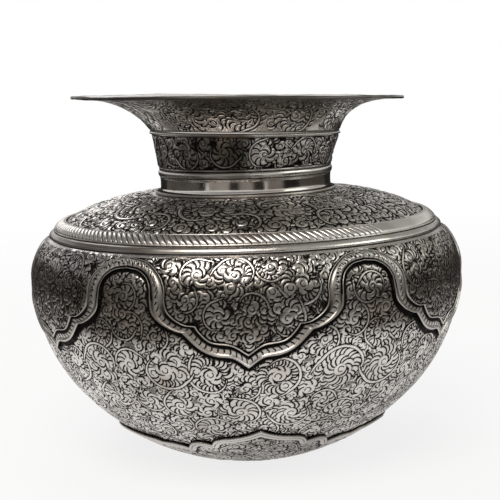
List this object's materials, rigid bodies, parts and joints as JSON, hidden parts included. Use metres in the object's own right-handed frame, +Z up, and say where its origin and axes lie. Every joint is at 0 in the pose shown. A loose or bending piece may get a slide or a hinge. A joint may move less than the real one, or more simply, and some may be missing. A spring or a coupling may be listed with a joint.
{
  "type": "metal water pot",
  "caption": "Wide-bellied metal water pot with a flared mouth, engraved sheet, a rope ring and raised cusped strap mouldings over a lobed base medallion.",
  "frame": {"origin": "middle of the base, on the surface that the pot stands on", "axes": "+Z up along the pot's axis, -Y towards the front, where one pendant of the strap moulding is centred"},
  "size_m": [0.201, 0.2, 0.1658],
  "materials": {
    "engraved_sheet": "silver plate over brass, engraved and darkened in the cuts",
    "polished_band": "silver plate over brass, plain and polished by hand",
    "rope_moulding": "silver plate over brass, darkened between the strands",
    "raised_moulding": "silver plate over brass, punched texture, darkened along the edges"
  },
  "bodies": {
    "root": {"base_medallion": "raised_moulding", "lower_bowl": "engraved_sheet", "shoulder_dome": "engraved_sheet", "seam_bead": "polished_band", "rope_ring": "rope_moulding", "collar_foot_ring": "polished_band", "neck_collar": "polished_band", "collar_top_bead": "polished_band", "neck_tube": "engraved_sheet", "neck_ridge_ring": "polished_band", "mouth_flare": "engraved_sheet", "rim_wire": "polished_band", "strap_1": "raised_moulding", "strap_2": "raised_moulding", "strap_3": "raised_moulding", "strap_4": "raised_moulding", "strap_5": "raised_moulding", "strap_6": "raised_moulding"}
  },
  "joints": []
}
